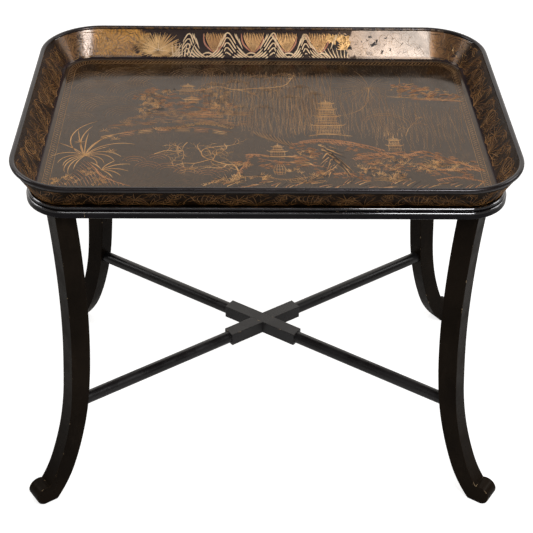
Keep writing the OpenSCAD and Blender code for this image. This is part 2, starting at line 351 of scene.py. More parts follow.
def curtain(paint, left, right, gap, hang, width):
    """Willow strands side by side; hang gives the top and the bottom of the one at x."""
    x = left
    while x < right:
        strand(paint, x, *hang(x), width)
        x += uniform(*gap)


def fountain(paint, x, y, spread, fall, n, width):
    """Willow strands that rise from one place, arch over on both sides and hang."""
    for i in range(n):
        t = 2 * i / (n - 1) - 1
        dx = spread * t
        drop = fall * uniform(0.7, 1.1)
        arch = [(x, y), (x + dx * 0.5, y + 9 * (1 - t * t) + 3), (x + dx * 0.9, y - 6),
                (x + dx * 1.05, y - drop * 0.5), (x + dx * 1.05, y - drop)]
        leaf_trail(paint, arch, 6.0, width)


def bamboo(paint, x, y, r, n, width, heading=-90):
    """A thicket of pointed leaves in small crossing sprays."""
    for _ in range(n):
        a = uniform(0, 360)
        d = r * sqrt(rng.random())
        p = (x + d * cos(a), y + d * sin(a) * 0.8)
        turn = rng.choice((-34, -12, 12, 34))
        for k in (-1, 0, 1):
            paint.blade(p, heading + turn + 24 * k, uniform(7, 11), 8 * k, width, n=4)


def tiled_roof(paint, x, y, w, rise, width):
    """A roof with lifted ends: eave, ridge and tile lines."""
    lift = rise * 0.55
    half_eave = ((0.5, lift), (0.4, lift * 0.15), (0.2, 0))
    eave = [(x - w * a, y + b) for a, b in half_eave] + [(x + w * a, y + b) for a, b in reversed(half_eave)]
    paint.line(eave, width * 1.5, step=2.5)
    paint.line([(x - w * 0.3, y + rise), (x, y + rise * 0.92), (x + w * 0.3, y + rise)], width * 1.2)
    n = max(5, round(w / 4))
    for i in range(n):
        t = (i + 0.5) / n - 0.5
        paint.stroke([(x + t * w * 0.56, y + rise), (x + t * w * 0.86, y + 0.6)], width * 0.9)


def pagoda(paint, x, y, w, tiers, width, storey, shrink=0.8):
    """A tower of tiled roofs on close-set posts, smaller towards its top; x, y is the middle of its foot."""
    for i in range(tiers):
        h, rise = w * storey, w * 0.17
        body = w * 0.62
        n = max(4, round(body / 2.6))
        for k in range(n + 1):
            px = x - body / 2 + body * k / n
            paint.stroke([(px, y), (px, y + h)], width * (1.2 if k in (0, n) else 0.95))
        for level in (0.0, 0.34, 0.8):
            paint.stroke([(x - body * 0.58, y + h * level), (x + body * 0.58, y + h * level)], width)
        y += h
        tiled_roof(paint, x, y, w, rise, width)
        y += rise
        w *= shrink
    paint.stroke([(x, y), (x, y + w * 0.5)], width, "taper")
    for k in range(3):
        ring, level = 2.4 - k * 0.6, y + 2 + k * 2.4
        paint.stroke([(x - ring, level), (x + ring, level)], width * 0.8)


def crag(paint, ink, x, y, r, n, tilt=0.0, width=1.3):
    """A cluster of rounded stones: three nested arcs each, of which the innermost is sometimes dark."""
    for _ in range(n):
        a = uniform(0, 360)
        d = r * sqrt(rng.random())
        cx, cy = x + d * cos(a), y + d * sin(a) * 0.7
        size = uniform(0.18, 0.34) * r
        for k in range(3):
            ring = size * (1 - 0.3 * k)
            brush = ink if k == 2 and rng.random() < 0.5 else paint
            arc = [polar((cx, cy), t + tilt, ring) for t in range(10 + 14 * k, 175, 32)]
            brush.line(arc, width, step=2.6)


def striped_mound(paint, centre, left, right, top, width):
    """A striped rock: arches one inside the other, which sweep out to the foot on both sides."""
    lean = uniform(-5, 5)
    foot = 3.5
    flank = ((1.0, 0.0), (0.68, 0.16), (0.40, 0.44), (0.20, 0.78), (0.07, 0.96))
    for i in range(5):
        height = top - 8.8 * i
        shrink = (max(height, 5) / top) ** 0.8
        arch = [(-left * shrink * x, y) for x, y in flank]
        arch += [(right * shrink * x, y) for x, y in reversed(flank)]
        line = smooth([(centre + lean * y * y + x, foot + (height - foot) * y) for x, y in arch])
        first, last = round(len(line) * uniform(0.22, 0.34)), round(len(line) * uniform(0.66, 0.78))
        paint.stroke(line[:first], width * uniform(0.95, 1.15), "leaf")
        paint.stroke(line[first:last], width * 0.8)
        paint.stroke(line[last:], width * uniform(0.95, 1.15), "leaf")


def plume(paint, tip, top, half, width, n):
    """A tulip-shaped tuft of fine lines that meet at its lower tip."""
    x, y = tip
    h = top - y
    for i in range(n):
        t = 2 * i / (n - 1) - 1
        belly = half * t * 0.95
        points = [(x + belly * 0.1, y), (x + belly * 0.55, y + h * 0.22), (x + belly, y + h * 0.6),
                  (x + belly * 0.98 + 3, top - abs(t) * 5 - 3 * (i % 2))]
        paint.line(points, width, "drop")


# ---------------------------------------------------------------- floor picture

def rounded_frame(inset, step=4.0):
    """A closed rounded rectangle on the floor, inset from where the wall starts to curve up."""
    r = FLOOR_CORNER_R - FLOOR_CURVE - inset
    cx, cy = FLAT_X - inset - r, FLAT_Y - inset - r
    points = []
    for k, (sx, sy) in enumerate(((1, 1), (-1, 1), (-1, -1), (1, -1))):
        for i in range(13):
            points.append(polar((sx * cx, sy * cy), 90 * k + 90 * i / 12, r))
    points.append(points[0])
    out = []
    for a, b in zip(points, points[1:]):
        n = max(1, round(dist(a, b) / step))
        out += [(a[0] + (b[0] - a[0]) * i / n, a[1] + (b[1] - a[1]) * i / n) for i in range(n)]
    return out + [points[0]]


def paint_border(paint):
    """Two lines all round, with slanting leaves between them."""
    paint.stroke(rounded_frame(11.0), 1.5)
    paint.stroke(rounded_frame(0.4), 1.3)
    outer, inner = rounded_frame(1.4, 6.4), rounded_frame(9.4, 6.4)
    n = len(outer) - 1
    for i in range(n):
        j = round(i * (len(inner) - 1) / n)
        a, b = outer[i], inner[min(j + 1, len(inner) - 1)]
        paint.stroke([a, ((a[0] + b[0]) / 2, (a[1] + b[1]) / 2), b], 1.9, "leaf")


def paint_spider_plant(gold, copper, ink):
    """Long arching leaves on a striped rock, at the front left."""
    heart = (-281, -99)
    leaves = [  # angle, length, bend, width
        (146, 134, -122, 2.2), (118, 98, -60, 2.2), (98, 70, -14, 2.2), (88, 104, -74, 2.2),
        (108, 82, -10, 2.2), (70, 92, -88, 2.1), (52, 66, -110, 2.1), (136, 58, 92, 2.0), (156, 52, 104, 2.0),
        (176, 50, 100, 2.0), (36, 58, -110, 2.0), (14, 44, -100, 1.9), (196, 62, 92, 2.0), (214, 60, 70, 1.9),
        (345, 40, -80, 1.9), (124, 62, 30, 1.9), (80, 66, -30, 1.9), (232, 44, 40, 1.8), (60, 46, -40, 1.8),
    ]
    for angle, length, bend, width in leaves:
        gold.blade(heart, angle, length, bend, width, n=12)
    low_leaves = ((75, 34, -40), (50, 48, -55), (25, 44, -60), (5, 38, -70), (110, 30, 40), (330, 30, -40))
    for angle, length, bend in low_leaves:
        gold.blade((-252, -141), angle, length, bend, 2.2, n=9)
    for x, y in ((-294, -57), (-238, -47), (-242, -85), (-258, -20)):
        fan(gold, (x, y), 9, -20, 200, 6, 1.6)
    foot = [(-322, -190), (-300, -156), (-284, -112), (-268, -118), (-256, -148), (-230, -168), (-204, -188)]
    hatch(copper, foot, -62, 5.0, 1.4, 3)
    hatch(ink, foot, -50, 6.0, 1.6, 3)
    copper.line([(-276, -116), (-262, -136), (-250, -158), (-226, -176), (-204, -188)], 2.4)
    for x, y, r, n in ((-300, -172, 16, 12), (-276, -150, 14, 9), (-254, -176, 16, 12), (-322, -176, 10, 8)):
        bamboo(gold, x, y, r, n, 1.3, 60)


def paint_far_shore(gold, copper, dim, ink):
    """Clouds and hills, the small pagoda and its island, at the back left."""
    clouds = (  # x, y, radius
        (-262, 48, 50), (-222, 112, 44), (-184, 142, 50), (-284, 116, 40), (-232, 30, 34), (-305, 12, 30),
        (-240, 166, 40), (-298, 74, 34), (-200, 84, 38), (-300, 160, 30), (-130, 168, 34), (-90, 176, 26),
    )
    for cx, cy, r in clouds:
        for k in range(6):
            dim.line([polar((cx, cy), a, r - 5.5 * k) for a in range(14 + 9 * k, 200, 17)], 1.2)
    pagoda(gold, -130, 104, 40, 2, 1.7, 0.36, 0.66)
    pagoda(gold, -122, 76, 34, 1, 1.6, 0.34)
    pagoda(copper, -92, 26, 34, 1, 1.5, 0.3)
    rocks = (  # x, y, radius, stones
        (-184, 112, 20, 16), (-160, 92, 22, 18), (-110, 92, 18, 14), (-140, 66, 26, 20), (-176, 62, 20, 14),
        (-92, 60, 22, 16), (-206, 92, 16, 9), (-120, 44, 24, 16), (-60, 62, 14, 9),
    )
    for x, y, r, n in rocks:
        crag(copper, ink, x, y, r, n)
    thickets = (  # x, y, radius, sprays
        (-190, 100, 20, 18), (-184, 70, 22, 24), (-194, 52, 14, 10), (-76, 112, 18, 14), (-74, 74, 22, 20),
        (-66, 46, 14, 12), (-160, 118, 12, 7), (-104, 122, 12, 8),
    )
    for x, y, r, n in thickets:
        bamboo(dim, x, y, r, n, 1.7)
        bamboo(ink, x + 2, y, r, n // 2, 1.4)
        bamboo(gold, x, y, r, n // 2, 1.4)
    ledges = (  # from, to, number of triple strokes
        (-256, -2, -180, 16, 7), (-190, 16, -60, 22, 11), (-226, 26, -150, 50, 7), (-150, 50, -30, 40, 9),
        (-170, 34, -80, 34, 8), (-110, 8, -34, 12, 6),
    )
    for x0, y0, x1, y1, n in ledges:
        for i in range(n):
            t = (i + uniform(-0.3, 0.3)) / n
            x, y = x0 + (x1 - x0) * t, y0 + (y1 - y0) * t + uniform(-4, 4)
            for k, brush in enumerate((copper, gold, copper)):
                heading = 4 + uniform(-14, 14)
                brush.blade((x, y - 4.2 * k), heading, uniform(12, 22), -14, 1.7 - 0.2 * k, n=4)
    for x in range(-176, -52, 5):
        foot = (x, -8 + 9 * sin(x / 21))
        tuft(gold, foot, 12, 4, uniform(-30, 30), 1.3)
        tuft(ink, (x + 2, foot[1]), 11, 3, uniform(-30, 30), 1.5)
    for x, y in ((-160, 38), (-134, 24), (-108, 38), (-62, 30), (-40, 40), (-196, 22), (-226, 8)):
        bamboo(dim, x, y, 14, 10, 1.3, 90)
    band = [(-262, -38), (-226, -28), (-186, -17), (-140, -12), (-92, -16), (-58, -26)]
    for drop in (0, 4.5, 9):
        line = smooth([(x, y - drop + uniform(-1, 1)) for x, y in band], 6)
        for i in range(0, len(line) - 5, 5):
            (copper if i % 2 else gold).stroke(line[i:i + 5], 2.6 - 0.14 * drop, "leaf")
    shore(copper, [(x, y + 5) for x, y in band[1:]], 1.6, 7, 3.6, -40)


def paint_willow(gold, copper, dim, ink):
    """The great willow: a level limb with strands that fall across the middle of the tray."""
    limb = [(-104, 122), (-78, 134), (-52, 124), (-20, 128), (12, 132), (34, 140), (44, 158), (52, 180)]
    gold.line(limb, 2.4)
    gold.line([(-48, 124), (-30, 116), (-16, 106), (-8, 92)], 1.8, "taper")
    gold.line([(-12, 128), (4, 142), (10, 158), (4, 176)], 1.6, "taper")
    copper.line([(-128, 116), (-104, 122), (-84, 128)], 2.2)
    upper = ((-64, 128, 70), (-30, 127, 110), (6, 133, 60), (20, 136, 20), (40, 150, 130), (-88, 128, 120))
    lower = ((-52, 122, 250), (-34, 126, 290), (-16, 112, 250), (8, 131, 280), (24, 138, 300), (44, 160, 60))
    for twigs, length, width in ((upper, 13, 1.2), (lower, 11, 1.1)):
        for x, y, heading in twigs:
            bare_tree(gold, (x, y), heading, length, width, 2)
    curtain(dim, -104, 116, (2.0, 3.2),
            lambda x: (186 + uniform(-8, 8), 26 - 70 * (1 - abs(x - 20) / 100) + uniform(-16, 20)), 0.95)
    fountains = (  # x, y, spread, fall, strands
        (-86, 140, 26, 60, 11), (-48, 150, 24, 80, 11), (-8, 168, 28, 70, 13), (34, 176, 26, 90, 13),
        (62, 132, 22, 90, 11), (84, 108, 20, 70, 11), (4, 120, 24, 70, 11), (44, 96, 20, 90, 11),
        (-70, 88, 20, 60, 9), (-40, 60, 20, 60, 9), (-4, 60, 22, 60, 9),
    )
    for x, y, spread, fall, n in fountains:
        fountain(dim, x, y, spread, fall, n, 1.05)
        fountain(ink, x + 2, y - 2, spread * 0.9, fall, n - 4, 1.1)
    curtain(dim, 60, 205, (2.6, 3.8), lambda x: (uniform(96, 140), uniform(-46, -6)), 0.95)
    curtain(dim, 176, 328, (2.8, 4.2),
            lambda x: (70 + 16 * sin(x / 17) + uniform(-10, 10), uniform(-84, -40)), 0.9)
    for x in range(36, 92, 6):
        strand(gold, x, uniform(40, 100), uniform(-46, -10), 1.0)


def paint_towers(gold, copper):
    """The tall pagoda, the small tower, the near pavilion and its lantern."""
    pagoda(gold, 101, -26, 58, 4, 1.9, 0.45, 0.80)
    gold.line([(68, -34), (92, -28), (118, -30), (138, -34)], 2.8)
    shore(copper, [(52, -52), (88, -44), (124, -50), (160, -64), (186, -78)], 2.8, 9)
    pagoda(gold, 203, -78, 30, 2, 1.6, 0.5, 0.78)
    for k in range(5):
        gold.blade((190 + k * 7, -34 + (k % 2) * 3), 90, 13, 0, 1.5, "taper")
    gold.line([(224, -32), (232, -6), (244, 14), (258, 34)], 1.5, "taper")
    for p, a in (((230, -12), 120), ((238, 6), 30), ((246, 18), 105)):
        bare_tree(gold, p, a, 12, 1.0, 2)
    for r in (34, 40):
        gold.line([polar((196, 2), a, r) for a in range(-10, 190, 20)], 1.0)
    gold.line([(176, 100), (170, 78), (160, 58), (146, 44), (126, 34)], 1.4)
    pagoda(gold, 18, -98, 34, 2, 1.6, 0.42, 0.62)
    gold.line([(-6, -98), (20, -100), (48, -97)], 2.2)
    lantern = 20
    for w, y in ((10, -152), (18, -146), (20, -136), (14, -128), (5, -121)):
        gold.line([(lantern - w / 2, y), (lantern, y - 1.5), (lantern + w / 2, y)], 1.6)
    for k in range(-2, 3):
        rib = [(lantern + k * 2.4, -122), (lantern + k * 4.6, -138), (lantern + k * 3.4, -153)]
        gold.line(rib, 1.1, "even")
    gold.stroke([(lantern, -120), (lantern, -104)], 1.3)
    gold.line([(36, -114), (52, -120), (70, -122), (58, -114)], 3.0)


def paint_fan_palm(gold, copper, dim, ink):
    """The fan palm and the rocks at the back right."""
    heart = (178, 132)
    fan(dim, heart, 62, 95, 268, 17, 1.3, 30)
    fan(dim, heart, 44, -60, 92, 12, 1.2, 30)
    gold.line([heart, (176, 112), (172, 92), (166, 74)], 1.6, "taper")
    rocks = (  # x, y, radius, stones
        (232, 138, 14, 8), (256, 130, 22, 15), (284, 116, 22, 15), (310, 100, 18, 12), (240, 112, 20, 13),
        (270, 100, 20, 12), (228, 124, 12, 7),
    )
    for x, y, r, n in rocks:
        crag(gold, ink, x, y, r, n // 2, 10, 1.5)
        crag(copper, ink, x, y, r, n, 10, 1.7)
    gold.line([(206, 101), (250, 97), (292, 94), (330, 87)], 2.0)
    copper.line([(246, 91), (290, 90), (332, 85)], 3.2)
    for x in range(228, 312, 7):
        tuft(gold, (x, uniform(98, 142) - (x - 228) * 0.3), 10, 4, uniform(-30, 30))
        tuft(ink, (x + 3, uniform(98, 138) - (x - 228) * 0.3), 9, 3, uniform(-30, 30))
    gold.line([(232, 150), (234, 168), (230, 184)], 1.3, "taper")


def paint_bare_tree(gold, copper):
    """A crooked tree without leaves, with scalloped hills behind it."""
    limbs = (
        ([(-40, -160), (-44, -140), (-50, -126), (-64, -122), (-82, -112), (-97, -101), (-101, -86),
          (-95, -75), (-74, -68), (-54, -64), (-47, -50)], 2.3),
        ([(-101, -88), (-108, -68), (-104, -56)], 1.6),
        ([(-84, -112), (-80, -98), (-84, -86), (-78, -78)], 1.4),
        ([(-90, -110), (-110, -120), (-128, -120), (-142, -128), (-154, -126)], 1.7),
        ([(-174, -92), (-156, -82), (-142, -84), (-130, -82), (-128, -96), (-118, -104)], 1.5),
        ([(-146, -64), (-136, -72), (-131, -84)], 1.4),
        ([(-124, -56), (-130, -68), (-131, -80)], 1.3),
        ([(-66, -60), (-62, -74), (-72, -84)], 1.3),
        ([(-60, -122), (-70, -134), (-90, -132), (-104, -140)], 1.4),
        ([(-30, -132), (-38, -124), (-50, -124)], 1.6),
    )
    for points, width in limbs:
        gold.line(points, width * 1.35, "taper")
        for p, q in zip(points[1:], points[2:]):
            heading = degrees(atan2(q[1] - p[1], q[0] - p[0]))
            bare_tree(gold, p, heading + rng.choice((-50, 50)), 15, 1.45, 2)
    hills = ((-150, -146, 26), (-182, -138, 22), (-120, -156, 24), (-90, -160, 20), (-204, -120, 20),
             (-168, -112, 20), (-70, -150, 18))
    for x, y, r in hills:
        for k in range(3):
            copper.line([polar((x, y), a, r - 6 * k) for a in range(15, 175, 16)], 1.5)


def paint_near_shore(gold, copper, dim, ink):
    """The bridge, the fern bank and the rocks along the front."""
    bridge = [(-26, -16), (0, -24), (24, -42), (50, -60), (42, -70), (14, -54), (-12, -36)]
    hatch(gold, bridge, 118, 3.6, 1.5)
    hatch(ink, bridge, 118, 3.6, 1.5)
    hatch(dim, [(-60, 4), (-20, -12), (8, -26), (0, -16), (-40, 10)], 100, 4.0, 1.3)
    stones = (  # x, y, radius, stones, tilt
        (-26, -98, 14, 9, 20), (-34, -118, 14, 10, 30), (56, -74, 18, 13, 0), (78, -84, 18, 13, -20),
        (48, -98, 16, 10, 0), (70, -104, 18, 11, -10), (30, -116, 18, 10, 0), (60, -124, 20, 12, 0),
        (150, -102, 20, 14, 0), (176, -100, 20, 15, 0), (204, -98, 20, 15, -10), (232, -96, 18, 13, -10),
        (256, -98, 18, 12, -20), (278, -112, 20, 13, -20), (304, -124, 20, 12, -25), (160, -128, 20, 12, 0),
        (192, -132, 20, 12, 0), (226, -132, 20, 12, -10), (258, -146, 20, 12, -10), (292, -156, 20, 12, -15),
        (120, -158, 18, 10, -10), (150, -162, 16, 9, 0), (84, -148, 16, 9, 0), (10, -140, 16, 8, 0),
        (-4, -124, 14, 8, 10), (110, -62, 16, 9, -15), (140, -78, 16, 10, -15),
    )
    for x, y, r, n, tilt in stones:
        crag(copper, ink, x, y, r, n, tilt, 1.4)
    for i in range(30):
        t = i / 29
        base = (82 + 36 * t, -62 - 64 * t + 8 * sin(i))
        brush = ink if i % 2 else gold
        heading = -38 - 26 * t + uniform(-8, 8)
        brush.blade(base, heading, uniform(28, 42), uniform(-22, 8), 3.3, "taper")
    for i in range(24):
        base = (98 + uniform(-6, 10), -84 - 2.8 * i)
        brush = ink if i % 2 else gold
        brush.blade(base, 236 + uniform(-14, 14), uniform(16, 28), 14, 2.1, "taper")
    slopes = (  # the slanted tops and feet of the rocks
        [(132, -104), (160, -92), (188, -86), (218, -92), (246, -80), (270, -96), (296, -114), (332, -134)],
        [(262, -136), (296, -134), (334, -136)], [(256, -166), (292, -158), (328, -170)],
        [(100, -150), (124, -148), (146, -168)],
        [(40, -60), (60, -54), (88, -50), (120, -56), (150, -66), (182, -84)],
        [(-34, -94), (-20, -92), (4, -96)], [(-46, -150), (-36, -130), (-28, -112)],
    )
    for points in slopes:
        shore(copper, points, 2.6, 10, 3.6, -58)
    thickets = (  # x, y, radius, sprays, heading
        (-34, -122, 12, 8, -100), (160, -146, 18, 12, 90), (196, -156, 16, 14, 90), (250, -128, 18, 13, -60),
        (262, -112, 16, 9, -60), (206, -112, 14, 8, 90), (64, -94, 14, 8, 60), (46, -144, 12, 7, 90),
        (84, -156, 12, 8, 90), (288, -132, 12, 7, -50), (-54, -168, 18, 14, 60), (-10, -166, 16, 9, 60),
    )
    for x, y, r, n, heading in thickets:
        bamboo(ink, x + 2, y, r, n // 2, 1.5, heading)
        bamboo(gold, x, y, r, n, 1.5, heading)
    for i in range(30):
        x = 140 + 6.2 * i
        tuft(gold, (x, -128 - 10 * sin(i * 0.9) - 0.05 * i), 14, 4, uniform(-45, 10), 1.3)
    for x, y, n in ((190, -172, 13), (262, -128, 9), (60, -178, 11), (-58, -180, 11)):
        fan(gold, (x, y), 28, 20, 160, n, 1.6, 26)
        fan(ink, (x + 2, y), 26, 26, 154, n - 1, 1.7, 26)
    for i in range(70):
        x = -96 + 6.0 * i
        y = -186 + 9 * sin(i * 0.55)
        heading = 42 + 20 * sin(i * 0.4) + uniform(-12, 12)
        (gold, ink, copper)[i % 3].blade((x, y), heading, uniform(14, 24), -18, 2.0, "taper")
    bank = [(-100, -182), (-70, -168), (-40, -160), (-8, -158), (24, -166), (60, -160), (96, -140),
            (110, -120)]
    shore(gold, bank, 1.6, 9)
    shore(copper, [(-14, -104), (10, -112), (44, -118), (84, -128), (104, -140)], 1.8, 8)


def paint_worn_ground(faint):
    """Faint short strokes all over the floor: water, hills and sky, nearly rubbed away."""
    pitch, margin = 7.5, 16
    y = -FLAT_Y + margin
    while y < FLAT_Y - margin:
        x = -FLAT_X + margin
        while x < FLAT_X - margin:
            px, py = x + uniform(-3, 3), y + uniform(-3, 3)
            calm = 1 if px < 0 else 0.35
            heading = 90 + 70 * sin(px / 58 + py / 90) * cos(py / 44 - px / 120) * calm
            faint.blade((px, py), heading, uniform(6, 11), uniform(-25, 25), 1.1, n=3)
            x += pitch
        y += pitch


def gild_floor(paints):
    gold = Paint("floor_gilding", on_floor, paints["gold"])
    copper = Paint("floor_copper_rocks", on_floor, paints["copper"])
    dim = Paint("floor_willow_and_clouds", on_floor, paints["bronze"], 0.12)
    faint = Paint("floor_worn_strokes", on_floor, paints["faint"], 0.08)
    ink = Paint("floor_dark_lines", on_floor, paints["dark"], 0.2)
    border = Paint("floor_border", on_floor, paints["bronze"])
    paint_worn_ground(faint)
    paint_border(border)
    paint_far_shore(gold, copper, dim, ink)
    paint_willow(gold, copper, dim, ink)
    paint_towers(gold, copper)
    paint_fan_palm(gold, copper, dim, ink)
    paint_bare_tree(gold, copper)
    paint_near_shore(gold, copper, dim, ink)
    paint_spider_plant(gold, copper, ink)
    for paint in (gold, copper, dim, faint, ink, border):
        paint.build()


# ---------------------------------------------------------------- wall pictures

def palm_burst(paint, heart, reach, low_reach, pitch, width):
    """A burst of blades, shorter towards the foot of the wall."""
    for a in range(0, 360, pitch):
        below = max(0, -sin(radians(a)))
        length = reach + (low_reach - reach) * min(1, below * 1.6)
        paint.blade(polar(heart, a, 2.5), a, length * uniform(0.86, 1.1), uniform(-8, 8), width)


def paint_left_scrolls(gold, dark):
    """Fine scrolls over the gold leaf."""
    for i, u in enumerate(range(-340, -212, 9)):
        turn = 1 if i % 2 else -1
        v = 12 + 13 * (i % 3)
        scroll(gold, (u, v), 80 * turn, 13, turn, 1.5)
        scroll(gold, (u + 5, 46 - v * 0.7), 200, 11, -turn, 1.4)
        scroll(dark, (u + 3, v + 6), 20, 12, -turn, 1.1)
        for k in range(3):
            gold.blade((u + 3 * k, 6), 70 + 20 * k, 12, 30 * turn, 1.4, n=4)


def paint_starburst(gold, cream):
    heart = (-180, 17)
    palm_burst(gold, heart, 35, 14, 5, 2.0)
    palm_burst(gold, (-206, 30), 17, 15, 9, 1.5)
    palm_burst(gold, (-158, 12), 15, 8, 12, 1.6)
    for a in (-8, 30, 92, 150, 188):
        cream.blade(heart, a, 17, 8, 1.8, "taper")


def paint_striped_rocks(cream, coral, plumes):
    """Striped mounds, with low arcs and blades in the valleys between them, and plumes edged in coral."""
    for u, left, right, tall in ((-134, 26, 40, 47), (-60, 38, 40, 49), (15, 38, 29, 49), (72, 29, 34, 48)):
        striped_mound(cream, u, left, right, tall, 3.1)
    for u in (-95, -21, 43, 100):
        for i in range(2):
            cream.line([polar((u, 1), t, 5.5 + 6.5 * i) for t in range(16, 168, 17)], 3.2)
        for side in (-1, 1):
            for k in range(3):
                start = (u + side * (15 + 5 * k), 20 + 8 * k)
                cream.blade(start, 90 - side * 28, 20, side * 14, 2.4, n=5)
    for k in range(7):
        cream.blade((-152 + 4.6 * k, 6 + 2 * (k % 2)), 112 - 5 * k, 25, -16, 3.0, "taper")
    for u, tip in ((-92, -84), (-22, -18), (47, 40), (101, 96)):
        plume(plumes, (tip, 15), WALL_V + 9, 17, 2.1, 12)
        for k in range(5):
            plumes.blade((u - 12 + 6 * k, 38 + 3 * (k % 2)), 84 + 6 * k, 18, 20, 1.7, n=4)
        for side, length in ((-1, 32), (1, 27)):
            edge = [(tip + side * length * 0.66, 15 + length), (tip + side * length * 0.56, 30),
                    (tip + side * 7, 18), (tip, 13)]
            coral.line(edge, 3.4)
    for k in range(9):
        cream.blade((104 + 4.8 * k, 5), 148 - 8 * k, 22 - k * 0.8, -18, 3.0, "taper")


def paint_pale_stretch(gold, dark):
    """Broad gold leaves, then faint scrolls on the pale stretch, with slate chips and twigs."""
    leaves = ((116, 47, 250), (126, 45, 232), (133, 30, 96), (140, 46, 262), (152, 34, 204), (144, 20, 150),
              (150, 44, 222), (120, 30, 70))
    for u, v, a in leaves:
        for k in range(4):
            gold.blade((u, v), a + 16 * (k - 1.5), 17, 12, 4.2, n=5)
    for i in range(20):
        u = 152 + 6.4 * i
        scroll(gold, (u, uniform(10, 44)), uniform(0, 360), 8, 1 if i % 2 else -1, 0.8)
    twigs = ((222, 36, 30), (227, 10, 38), (236, 13, 20), (246, 32, -40), (206, 25, 35), (176, 33, 28),
             (262, 20, 30))
    for u, v, a in twigs:
        dark.blade((u, v), a, 11, 8, 1.5, n=4)
        dark.blade((u + 3, v + 2), a + 50, 5, 8, 1.5, n=3)
    chips = (  # u, v, length, width
        (128, 36, 12, 8), (140, 44, 9, 6), (122, 24, 9, 6), (136, 12, 13, 9), (147, 22, 8, 6),
        (190, 28, 10, 5), (186, 42, 6, 3), (203, 15, 7, 3), (214, 40, 5, 2), (197, 34, 6, 3),
        (218, 20, 5, 2), (240, 30, 5, 1.6),
    )
    for u, v, reach, width in chips:
        a = uniform(-40, 60) if u > 165 else uniform(0, 360)
        for turn in (a, a + 38):
            dark.blade(polar((u, v), turn, -reach * 0.6), turn, reach * 1.3, 20, width, n=4)


def paint_right_scrolls(gold, dark):
    """Dark and gold scrolls with small flowers, round the back right corner."""
    for i, u in enumerate(range(300, 420, 12)):
        turn = 1 if i % 2 else -1
        scroll(dark, (u, 14 + 11 * (i % 3)), 60, 14, turn, 1.7)
        scroll(gold, (u + 5, 38 - 9 * (i % 3)), 190, 12, -turn, 1.4)
        flower(dark, (u + 2, 24 + 9 * (i % 2)), 7, 6, 1.6)


def gild_back_wall(paints):
    gold = Paint("back_wall_gilding", on_inner_wall, paints["wall_gold"])
    cream = Paint("back_wall_striped_rocks", on_inner_wall, paints["cream"], 0.2)
    coral = Paint("back_wall_coral_lines", on_inner_wall, paints["coral"], 0.14)
    dark = Paint("back_wall_dark_scrolls", on_inner_wall, paints["dark"], 0.1)
    plumes = Paint("back_wall_plumes", on_inner_wall, paints["gold"])
    paint_left_scrolls(gold, dark)
    paint_starburst(gold, cream)
    paint_striped_rocks(cream, coral, plumes)
    paint_pale_stretch(gold, dark)
    paint_right_scrolls(gold, dark)
    for paint in (gold, cream, coral, dark, plumes):
        paint.build()


def foliage(paint, u, end, width=1.5):
    """A wall covered edge to edge: fans and feathers that rise from the foot and hang from the rim."""
    for kind in cycle(range(6)):
        if u >= end:
            return
        if kind == 0:
            fan(paint, (u, 5), 34, 18, 162, 9, width, 20)
            fan(paint, (u + 2, 49), 15, 200, 340, 6, width, -10)
        elif kind == 1:
            frond(paint, (u - 4, 6), 58, 46, 30, width, 16)
            fan(paint, (u + 16, 6), 14, 40, 170, 5, width, 10)
        elif kind == 2:
            scroll(paint, (u, 14), 80, 21, -1, width)
            scroll(paint, (u + 8, 38), -70, 17, 1, width)
            fan(paint, (u - 6, 48), 16, 210, 330, 5, width, 0)
        elif kind == 3:
            plume(paint, (u, 6), 48, 17, width, 6)
        elif kind == 4:
            frond(paint, (u + 8, 47), 232, 44, 30, width, 15)
            flower(paint, (u + 14, 14), 9, 5, width)
        else:
            fan(paint, (u, 26), 21, 0, 330, 11, width, 0)
            fan(paint, (u - 8, 5), 16, 30, 150, 5, width, 16)
        for k in range(3):
            paint.blade((u + 6 * k, 8 + 12 * k), uniform(30, 150), 13, uniform(-30, 30), width, "taper", 4)
        u += 25 * uniform(0.85, 1.15)


def gild_other_walls(paints):
    inner = Paint("inner_wall_foliage", on_inner_wall, paints["side_gold"])
    foliage(inner, SIDE_START - 30, FRONT_START + 20)
    foliage(inner, -FRONT_START - 20, -SIDE_START + 40)
    foliage(inner, FRONT_START + 30, 2 * HALF_ROUND - FRONT_START - 40)
    inner.build()
    outer = Paint("outer_wall_foliage", on_outer_wall, paints["side_gold"])
    foliage(outer, -HALF_ROUND, HALF_ROUND - 30)
    outer.build()


# ---------------------------------------------------------------- materials

# Where the back wall's colours change along x, in metres
GOLDEN_TO_TAN = (0.10, 0.16)
TAN_TO_PALE = (0.17, 0.285)
LEAF_TO_CORNER = (0.292, 0.300)
PALE_X = 0.22
# Where the painted highlight of a glare sits on the back-left corner
GLARE_X = -0.314
STRIPED_X = -0.033
STRIPED_EDGE = (0.190, 0.177)
# The back wall and the back of the rim lie beyond this y
BACK_Y = 0.2
# What shows where the black has chipped off
CHIPPED = (0.50, 0.36, 0.21)


